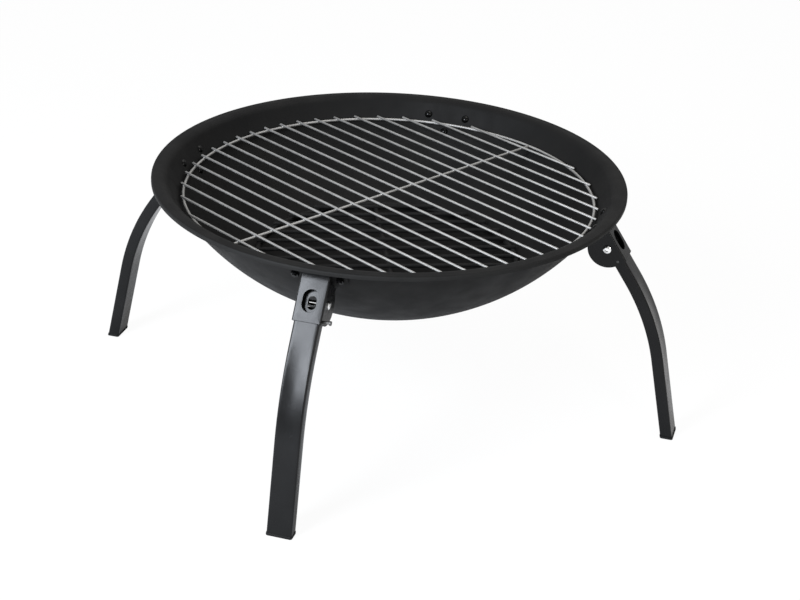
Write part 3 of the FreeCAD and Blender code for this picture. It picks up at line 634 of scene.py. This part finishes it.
# %% [markdown]
# ## The two wire discs
#
# The cooking grill and the charcoal grate are made alike: a ring, one wire across it on the same
# level, and parallel bars welded on top. A wire is a circle carried along a line. Its cut ends
# are slightly domed, so the circle shrinks as a quarter ellipse over the last stretch. A curve
# with a bevel would also give wires, but its caps are flat and its rows can't be placed.

# %% Wire helpers
AROUND, RING_STEPS = 14, 200
DOME_STEPS, DOME_SHARE = 5, 0.6
BEAD_ROWS, BEAD_COLUMNS = 7, 10


def full_turn(steps):
    """Equal angles all the way round."""
    return np.linspace(0.0, 2.0 * math.pi, steps, endpoint=False)


def straight_wires(starts, ends, radius):
    """A circle carried from each start to each end; near an end its radius is r sin b, b from 0."""
    along = ends - starts
    length = np.linalg.norm(along, axis=1)
    along = along / length[:, None]
    side = np.cross(along, UP)
    lift = np.cross(side, along)
    bow = np.linspace(0.0, math.pi / 2.0, DOME_STEPS)
    dome = radius * DOME_SHARE * (1.0 - np.cos(bow))
    near = np.broadcast_to(dome, (len(starts), DOME_STEPS))
    reach = np.concatenate([near, length[:, None] - near[:, ::-1]], axis=1)
    width = radius * np.concatenate([np.sin(bow), np.sin(bow[::-1])])
    angle = full_turn(AROUND)[:, None]
    circle = side[:, None, :] * np.cos(angle) + lift[:, None, :] * np.sin(angle)
    middle = starts[:, None, :] + along[:, None, :] * reach[:, :, None]
    return middle[:, :, None, :] + width[None, :, None, None] * circle[:, None]


def ring_wire(ring_radius, wire_radius, level):
    """A torus: the wire's circle carried round the ring."""
    angle = full_turn(AROUND)
    around = full_turn(RING_STEPS)[:, None]
    reach = ring_radius + wire_radius * np.cos(angle)
    height = level + wire_radius * np.sin(angle)
    return np.stack([reach * np.cos(around), reach * np.sin(around), height + 0.0 * around], axis=-1)


def weld_beads(spots, along, half_sizes):
    """Small flattened ellipsoids at the spots: x, y, z = a cos u cos v, b cos u sin v, c sin u."""
    rise = np.linspace(-math.pi / 2.0, math.pi / 2.0, BEAD_ROWS)[:, None]
    angle = full_turn(BEAD_COLUMNS)
    flat = np.cos(rise)
    flat[[0, -1]] = 0.0
    side = np.cross(along, UP)
    x = half_sizes[0] * flat * np.cos(angle)
    y = half_sizes[1] * flat * np.sin(angle)
    z = half_sizes[2] * np.sin(rise) + 0.0 * angle
    bead = x[..., None] * along + y[..., None] * side + z[..., None] * UP
    return spots[:, None, None, :] + bead


print("wires:", AROUND, "points round,", RING_STEPS, "rows in a ring")

# %% [markdown]
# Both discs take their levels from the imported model, so they rest on the bowl's wall where the
# CAD says. Cut wire is never quite even, so a seeded draw shortens each bar by up to a
# millimetre at each end. A flattened bead sits in each crossing, where the spot weld squeezed
# metal out.

# %% Cooking grill and charcoal grate
WIRE_DISCS = {
    "grill": dict(slot="grill_wire", ring=243.0, ring_wire=3.2, bar_wire=2.8, bars=20, pitch=24.0,
                  overhang=6.5, azimuth=-29.9),
    "grate": dict(slot="grate_wire", ring=157.0, ring_wire=6.0, bar_wire=5.0, bars=12, pitch=25.0,
                  overhang=4.0, azimuth=23.0),
}
UNEVEN_CUT = 0.9 * MM
WELD_SINK = 0.5 * MM
BEAD_ALONG, BEAD_ASIDE, BEAD_UP = 1.25, 1.35, 0.7
draw = np.random.default_rng(7)


def middle_level(node_name):
    """Half way between the lowest and highest point of a CAD node."""
    low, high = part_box(node_name)
    return (low.z + high.z) / 2.0


def flat_points(x, y, z, facing):
    """Points x, y at one level, turned to face along the bars."""
    return turned(np.stack([x, y, np.full_like(x, z)], axis=-1), facing)


for disc, plan in WIRE_DISCS.items():
    ring_radius, facing = plan["ring"] * MM, math.radians(plan["azimuth"])
    ring_half, bar_half = plan["ring_wire"] * MM / 2.0, plan["bar_wire"] * MM / 2.0
    level, bar_level = middle_level(f"{disc}_ring"), middle_level(f"{disc}_bars")
    count = plan["bars"]
    aside = plan["pitch"] * MM * (np.arange(count) - (count - 1) / 2.0)
    crossing = np.sqrt(ring_radius ** 2 - aside ** 2)
    reach = crossing + plan["overhang"] * MM
    starts = flat_points(-reach + UNEVEN_CUT * draw.random(count), aside, bar_level, facing)
    ends = flat_points(reach - UNEVEN_CUT * draw.random(count), aside, bar_level, facing)
    bars = surface(f"{disc}_bar_wires", straight_wires(starts, ends, bar_half))
    dress(bars, disc, plan["slot"], f"{disc}_bars")
    ring = surface(f"{disc}_ring_wire", ring_wire(ring_radius, ring_half, level), close_rows=True)
    dress(ring, disc, plan["slot"], f"{disc}_ring")
    brace_reach = np.array([ring_radius - ring_half + WELD_SINK])
    brace_start = flat_points(np.zeros(1), -brace_reach, level, facing)
    brace_end = flat_points(np.zeros(1), brace_reach, level, facing)
    brace = surface(f"{disc}_cross_wire", straight_wires(brace_start, brace_end, ring_half))
    dress(brace, disc, plan["slot"], f"{disc}_cross_bar")
    bead_x = np.concatenate([-crossing, crossing, np.zeros(count)])
    spots = flat_points(bead_x, np.tile(aside, 3), level + ring_half - WELD_SINK / 2.0, facing)
    along = turned(np.array([1.0, 0.0, 0.0]), facing)
    half_sizes = (BEAD_ALONG * ring_half, BEAD_ASIDE * bar_half, BEAD_UP * bar_half)
    beads = surface(f"{disc}_weld_beads", weld_beads(spots, along, half_sizes))
    dress(beads, disc, plan["slot"])
    print(disc, count, "bars at", round(bar_level / MM, 2), "mm,", len(spots), "welds")

# %% [markdown]
# ## The bent legs
#
# Each leg is a rectangular tube, 29 by 14 mm, that leaves the hinge on a slant, bends and comes
# down nearly upright. So we carry a rounded rectangle along the leg's middle line, in the leg's
# own axes, and then lean and turn the points into place. A curve with a bevel object would give
# the tube too, but it can't end each wall at its own height, as the upper end needs.

# %% Section and path of a tube
TUBE_WIDTH, TUBE_DEPTH, TUBE_WALL = 29.0 * MM, 14.0 * MM, 1.5 * MM
TUBE_CORNER, TUBE_OFFSET, CORNER_STEPS = 2.0 * MM, 3.5 * MM, 6
LEG_TILT, BEND_ANGLE = math.radians(34.5), math.radians(22.5)
BEND_START, BEND_RADIUS = 48.0 * MM, 270.0 * MM
FOOT_CUT = 3.0 * MM
UPPER_ROWS, BEND_ROWS, LOWER_ROWS = 7, 30, 8
hinges = {
    joint["child"]: np.array(joint["pos_m"])
    for joint in frame["joints"] if joint["type"] == "hinge"
}
hinge_height = hinges["leg_front"][2]


def tube_section(width, depth, corner, face_marks):
    """A rounded rectangle as two arrays, out from the bowl and across: flat runs and corner arcs."""
    quarter = np.linspace(0.0, math.pi / 2.0, CORNER_STEPS)
    out, over = depth / 2.0 - corner, width / 2.0 - corner
    flat = np.clip(face_marks, -over, over)
    full = np.full_like(flat, depth / 2.0)
    runs = [
        (out + corner * np.cos(quarter), over + corner * np.sin(quarter)),
        (-out - corner * np.sin(quarter), over + corner * np.cos(quarter)),
        (-full, flat[::-1]),
        (-out - corner * np.cos(quarter), -over - corner * np.sin(quarter)),
        (out + corner * np.sin(quarter), -over - corner * np.cos(quarter)),
        (full, flat),
    ]
    return tuple(np.concatenate(values) for values in zip(*runs))


def along_leg(out, top):
    """Rows of x, z down the leg for points at a distance out from its middle line: a straight run
    from the wall's top, an arc of the bend's radius plus out, and a straight run to the foot."""
    share = np.linspace(0.0, 1.0, UPPER_ROWS)[:, None]
    upper_x = TUBE_OFFSET + out + 0.0 * share
    upper = np.stack([upper_x, -top + share * (top - BEND_START)], axis=-1)
    angle = np.linspace(0.0, BEND_ANGLE, BEND_ROWS)[1:, None]
    reach = BEND_RADIUS + out
    bend_x = TUBE_OFFSET - BEND_RADIUS + reach * np.cos(angle)
    bend = np.stack([bend_x, -BEND_START - reach * np.sin(angle)], axis=-1)
    fall = hinge_height + bend[-1, :, 0] * math.sin(LEG_TILT) + bend[-1, :, 1] * math.cos(LEG_TILT)
    run = (fall - FOOT_CUT) / math.cos(BEND_ANGLE - LEG_TILT)
    share = np.linspace(0.0, 1.0, LOWER_ROWS)[1:, None]
    down = np.array([-math.sin(BEND_ANGLE), -math.cos(BEND_ANGLE)])
    lower = bend[-1][None] + (share * run)[..., None] * down
    return np.concatenate([upper, bend, lower])


def to_frame(points, side):
    """From the leg's own axes, out, across and up the leg, to the shared frame: lean by the tilt
    about the hinge, then turn to the side's azimuth."""
    x, y, z = np.moveaxis(points, -1, 0)
    pivot = hinges[f"leg_{side}"]
    leaned = np.stack([
        np.hypot(pivot[0], pivot[1]) + x * math.cos(LEG_TILT) - z * math.sin(LEG_TILT),
        y,
        pivot[2] + x * math.sin(LEG_TILT) + z * math.cos(LEG_TILT),
    ], axis=-1)
    return turned(leaned, math.radians(LEG_AZIMUTHS[side]))


print("hinges", round(hinge_height / MM, 1), "mm above the floor")

# %% [markdown]
# At the hinge the tube is cut in steps. Its outer wall ends below the yoke's window, and its side
# walls end below the washers. Two slots in the inner wall leave room for the bracket's ears, and
# the tongue between them stands highest. So every point of the section gets the distance below
# the pivot at which its own wall ends. The tube has an inner skin too, because its open upper end
# shows at the hinge.

# %% Walls of a tube
WALL_TOPS = {"outer": 13.5 * MM, "side": 8.0 * MM, "slot": 14.0 * MM, "tongue": 4.5 * MM}
TONGUE_HALF, TONGUE_MARKS = 10.0 * MM, (0.2, 0.45, 0.7)
CUT_EDGE = 0.01 * MM
inner_half = TUBE_WIDTH / 2.0 - TUBE_WALL
inner_face = TUBE_DEPTH / 2.0 - TUBE_WALL
one_side = np.concatenate([
    np.array(TONGUE_MARKS) * TONGUE_HALF,
    [TONGUE_HALF - CUT_EDGE, TONGUE_HALF + CUT_EDGE, inner_half - 2 * CUT_EDGE],
])
face_marks = np.concatenate([-one_side[::-1], [0.0], one_side])
outer_out, outer_across = tube_section(TUBE_WIDTH, TUBE_DEPTH, TUBE_CORNER, face_marks)
inner_out, inner_across = tube_section(
    TUBE_WIDTH - 2 * TUBE_WALL, TUBE_DEPTH - 2 * TUBE_WALL, TUBE_CORNER - TUBE_WALL, face_marks)
on_outer = outer_out > inner_face
on_inner = outer_out < -inner_face
wall_top = np.full_like(outer_out, WALL_TOPS["side"])
wall_top[on_outer] = WALL_TOPS["outer"]
wall_top[on_inner & (np.abs(outer_across) < inner_half)] = WALL_TOPS["slot"]
wall_top[on_inner & (np.abs(outer_across) < TONGUE_HALF)] = WALL_TOPS["tongue"]
outer_line = along_leg(outer_out, wall_top)
inner_line = along_leg(inner_out, wall_top)
print("tube:", len(outer_out), "points round,", len(outer_line), "rows down each skin")

# %% [markdown]
# When such a tube is bent its outer wall sinks a little, and that hollow is what pulls the
# highlight to one side on the real leg. The depth swells and fades along the bend as a half sine
# wave, and across the face as a parabola that ends at the side walls.

# %% Hollow bend and leg shells
HOLLOW_DEPTH = 1.0 * MM
HOLLOW_LEAD, HOLLOW_EXTRA = 3, 4
TUBE_SHARP_DEG = 35.0
row_count = len(outer_line)
row_in_hollow = np.arange(row_count) - UPPER_ROWS + HOLLOW_LEAD
down_bend = np.clip(row_in_hollow / (BEND_ROWS + HOLLOW_EXTRA), 0.0, 1.0)
sink = HOLLOW_DEPTH * np.sin(math.pi * down_bend)
dip = np.where(on_outer, np.clip(1.0 - (outer_across / inner_half) ** 2, 0.0, 1.0), 0.0)
slope = np.gradient(outer_line, axis=0)
slope /= np.linalg.norm(slope, axis=-1)[..., None]
inward = np.stack([slope[..., 1], -slope[..., 0]], axis=-1)
outer_line = outer_line + inward * (sink[:, None] * dip)[..., None]
lines = np.concatenate([outer_line, inner_line[::-1]])
across_leg = np.concatenate([
    np.broadcast_to(outer_across, (row_count, len(outer_across))),
    np.broadcast_to(inner_across, (row_count, len(inner_across))),
])
tube_points = np.stack([lines[..., 0], across_leg, lines[..., 1]], axis=-1)
for side in SIDES:
    leg_points = to_frame(tube_points, side)
    shell = surface(f"bent_leg_{side}", leg_points, close_rows=True, sharp_deg=TUBE_SHARP_DEG)
    dress(shell, f"leg_{side}", "leg_paint", f"leg_tube_{side}")
print("leg: outer wall sinks", HOLLOW_DEPTH / MM, "mm in the bend")

# %% [markdown]
# Little light reaches into the tubes. The small slot in each catch plate looks onto the far wall,
# next to the pivot, and there the wall gets a painted shade, near black, and a dull roughness. The
# mask measures in a leg's own axes: how far across it, out from its hinge and up along it a point
# lies. The legs stand on the x and y axes, so the first is the smaller of |x| and |y|. The others
# are dot products of the point's r and z with the leg's slanted directions.

# %% Painted shade inside the tubes
# Painted shade: a near-black tone, made dull, on the far wall that the slot shows.
SHADE_ACROSS = (11.0 * MM, 10.2 * MM)
SHADE_OUT = (-1.2 * MM, -1.9 * MM)
SHADE_ALONG = (-34.0 * MM, -28.0 * MM)
TUBE_SHADE_TONE = (0.002, 0.002, 0.002, 1.0)
SHADED_WALL_ROUGHNESS = 0.95


def along_direction(tree, r, z, direction, hinge, span):
    """Where a point lies in a span of distances from the hinge: the dot product of its r and z
    with a direction, less the hinge's own."""
    place = tree.nodes.new("ShaderNodeCombineXYZ")
    tree.links.new(r, place.inputs["X"])
    tree.links.new(z, place.inputs["Z"])
    dot = tree.nodes.new("ShaderNodeVectorMath")
    dot.operation = "DOT_PRODUCT"
    dot.inputs[1].default_value = (direction[0], 0.0, direction[1])
    tree.links.new(place.outputs[0], dot.inputs[0])
    start = hinge[0] * direction[0] + hinge[1] * direction[1]
    return spread(tree, dot.outputs["Value"], [start + limit for limit in span])


def shade_inside_tubes(material):
    """Paint shade onto the far wall of a leg's tube where the slot shows it, and dull it: the mask is
    the product of three spans, across the leg, out from its hinge and along it."""
    tree = material.node_tree
    shader = tree.nodes["Principled BSDF"]
    size_x, size_y, height = level_sizes(tree)
    across = spread(tree, math_node(tree, "MINIMUM", size_x, size_y), SHADE_ACROSS)
    reach = math_node(tree, "MAXIMUM", size_x, size_y)
    pivot = hinges["leg_front"]
    hinge = (math.hypot(pivot[0], pivot[1]), pivot[2])
    cosine, sine = math.cos(LEG_TILT), math.sin(LEG_TILT)
    out = along_direction(tree, reach, height, (cosine, sine), hinge, SHADE_OUT)
    up_leg = along_direction(tree, reach, height, (-sine, cosine), hinge, SHADE_ALONG)
    mask = math_node(tree, "MULTIPLY", math_node(tree, "MULTIPLY", across, out), up_leg)
    blend_tone(material, mask, None, TUBE_SHADE_TONE)
    rough = tree.nodes.new("ShaderNodeMix")
    rough.inputs["B"].default_value = SHADED_WALL_ROUGHNESS
    tree.links.new(mask, rough.inputs["Factor"])
    tree.links.new(shader.inputs["Roughness"].links[0].from_socket, rough.inputs["A"])
    tree.links.new(rough.outputs["Result"], shader.inputs["Roughness"])


shade_inside_tubes(FINISHES["leg_paint"])
print("painted shade inside", len(SIDES), "tubes")
